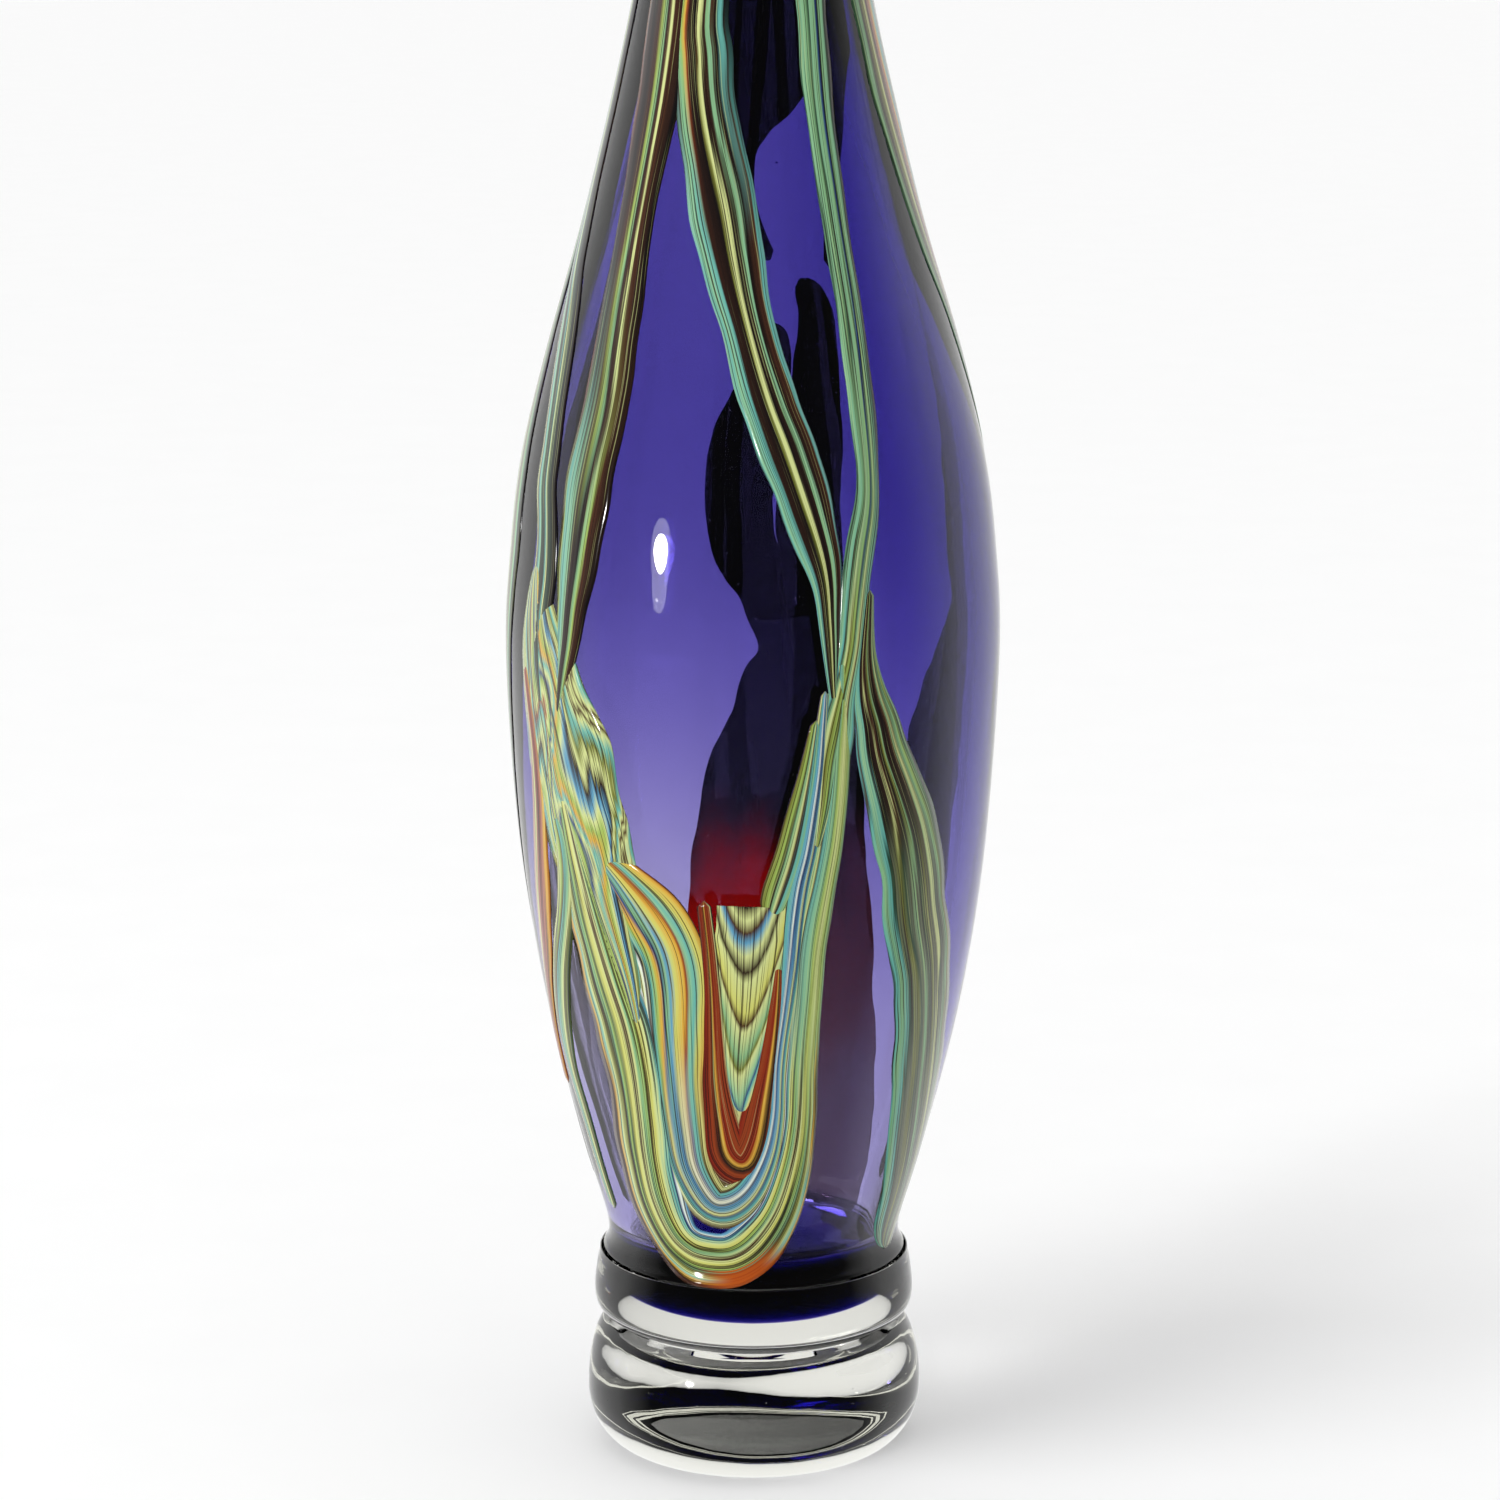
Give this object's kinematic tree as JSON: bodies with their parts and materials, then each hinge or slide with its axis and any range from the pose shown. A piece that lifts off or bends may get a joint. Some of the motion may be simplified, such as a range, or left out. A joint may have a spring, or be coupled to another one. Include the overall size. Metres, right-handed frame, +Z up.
{
  "type": "art glass vase",
  "caption": "Tall bottle-shaped blown glass vase: violet bubble cased in clear glass, streaked trails laid round it, clear collar and thick clear foot.",
  "frame": {"origin": "centre of the flat ring that the foot stands on, which is the bottom centre of the vase", "axes": "+Z up along the vase's axis; -Y is the front, with the looped trails; +X is to the right seen from the front"},
  "size_m": [0.1053, 0.1055, 0.4119],
  "materials": {
    "clear_glass": "fire-polished clear glass",
    "casing_glass": "fire-polished clear glass",
    "violet_glass": "transparent violet glass",
    "streaked_glass": "opaque streaked glass in cream, lime, sage, teal and brown",
    "dark_streaked_glass": "opaque streaked glass in dark brown, rust and olive"
  },
  "bodies": {
    "root": {"foot_pad": "clear_glass", "collar_cup": "clear_glass", "clear_casing": "casing_glass", "violet_bubble": "violet_glass", "sage_trail": "streaked_glass", "centre_apex_trail": "streaked_glass", "left_apex_trail": "streaked_glass", "outer_loop_trail": "streaked_glass", "middle_loop_trail": "streaked_glass", "red_comb_line": "dark_streaked_glass", "combed_tongue": "streaked_glass", "hooked_thread": "streaked_glass", "right_leg_trail": "streaked_glass", "left_shoulder_trail": "streaked_glass", "folded_trail": "streaked_glass", "left_edge_trail": "streaked_glass", "rose_thread": "dark_streaked_glass", "right_side_fall": "dark_streaked_glass", "back_crown_trail": "dark_streaked_glass", "back_right_fall": "dark_streaked_glass", "back_left_fall": "dark_streaked_glass", "back_right_drip": "dark_streaked_glass", "back_left_trail": "streaked_glass", "left_side_trail": "dark_streaked_glass"}
  },
  "joints": []
}
